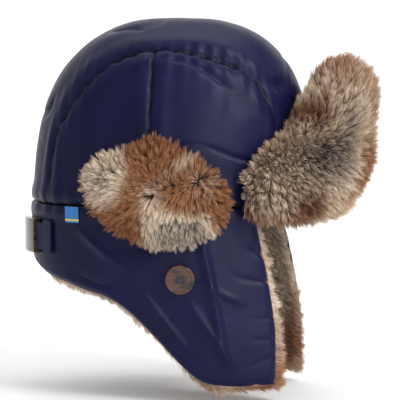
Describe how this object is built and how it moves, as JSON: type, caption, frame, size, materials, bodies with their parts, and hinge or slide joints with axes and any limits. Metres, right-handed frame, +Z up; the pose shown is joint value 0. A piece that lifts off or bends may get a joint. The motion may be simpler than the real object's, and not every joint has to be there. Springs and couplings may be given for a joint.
{
  "type": "trapper_hat",
  "caption": "Child's navy trapper hat with a padded crown, folded-up faux fur visor, fur wind flaps over the ears, hanging fur-lined ear flaps, horn buttons and a nape adjuster",
  "frame": {"origin": "middle of the head opening, level with the seam between crown and ear panels", "axes": "+Z up, the face looks towards -Y, the wearer's left is +X"},
  "size_m": [0.2046, 0.2576, 0.2716],
  "materials": {
    "navy_shell": "matte woven nylon shell, fine weave with a soft sheen",
    "faux_fur": "long pile faux fur, rust and cream tips over grey-brown roots",
    "wadding": "soft white wadding",
    "soft_lining": "smooth brushed lining",
    "horn": "polished dark brown horn-effect plastic",
    "thread": "twisted sewing thread",
    "buckle_plastic": "polished olive-brown moulded plastic",
    "webbing": "flat navy webbing",
    "woven_label": "woven blue label with a plain yellow band"
  },
  "bodies": {
    "crown": {"crown_top_panel": "navy_shell", "crown_side_front_left": "navy_shell", "crown_side_front_right": "navy_shell", "crown_side_rear_left": "navy_shell", "crown_side_rear_right": "navy_shell", "crown_top_padding": "wadding", "crown_front_padding_left": "wadding", "crown_front_padding_right": "wadding", "crown_rear_padding_left": "wadding", "crown_rear_padding_right": "wadding", "crown_lining": "soft_lining", "ear_panel_left": "navy_shell", "ear_panel_right": "navy_shell", "neck_fur_left": "faux_fur", "neck_fur_right": "faux_fur", "adjuster_strap": "webbing", "strap_tab_left": "webbing", "strap_tab_right": "webbing", "side_label": "woven_label"},
    "visor": {"visor_fabric": "navy_shell", "visor_interlining": "wadding", "visor_fur": "faux_fur"},
    "wind_flap_left": {"wind_flap_fabric_left": "navy_shell", "wind_flap_fur_left": "faux_fur"},
    "wind_flap_right": {"wind_flap_fabric_right": "navy_shell", "wind_flap_fur_right": "faux_fur"},
    "ear_flap_left": {"ear_flap_fabric_left": "navy_shell", "ear_flap_fur_left": "faux_fur", "ear_button_left": "horn", "button_thread_left": "thread"},
    "ear_flap_right": {"ear_flap_fabric_right": "navy_shell", "ear_flap_fur_right": "faux_fur", "ear_button_right": "horn", "button_thread_right": "thread"},
    "buckle": {"adjuster_buckle": "buckle_plastic"}
  },
  "joints": [
    {"name": "visor_fold", "type": "hinge", "parent": "crown", "child": "visor", "pos_m": [0, -0.1062, -0.006], "axis": [1, 0, 0], "range_deg": [0, 95]},
    {"name": "wind_flap_left_fold", "type": "hinge", "parent": "crown", "child": "wind_flap_left", "pos_m": [0.093, -0.007, -0.01], "axis": [0, -1, 0], "range_deg": [-160, 0]},
    {"name": "wind_flap_right_fold", "type": "hinge", "parent": "crown", "child": "wind_flap_right", "pos_m": [-0.093, -0.007, -0.01], "axis": [0, 1, 0], "range_deg": [-160, 0]},
    {"name": "ear_flap_left_fold", "type": "hinge", "parent": "crown", "child": "ear_flap_left", "pos_m": [0.0765, -0.074, -0.009], "axis": [-0.0842, -0.869, 0.4877], "range_deg": [0, 90]},
    {"name": "ear_flap_right_fold", "type": "hinge", "parent": "crown", "child": "ear_flap_right", "pos_m": [-0.0765, -0.074, -0.009], "axis": [-0.0842, 0.869, -0.4877], "range_deg": [0, 90]},
    {"name": "buckle_slide", "type": "hinge", "parent": "crown", "child": "buckle", "pos_m": [0, 0.0314, -0.025], "axis": [0, 0, 1], "range_deg": [-15, 6]}
  ]
}
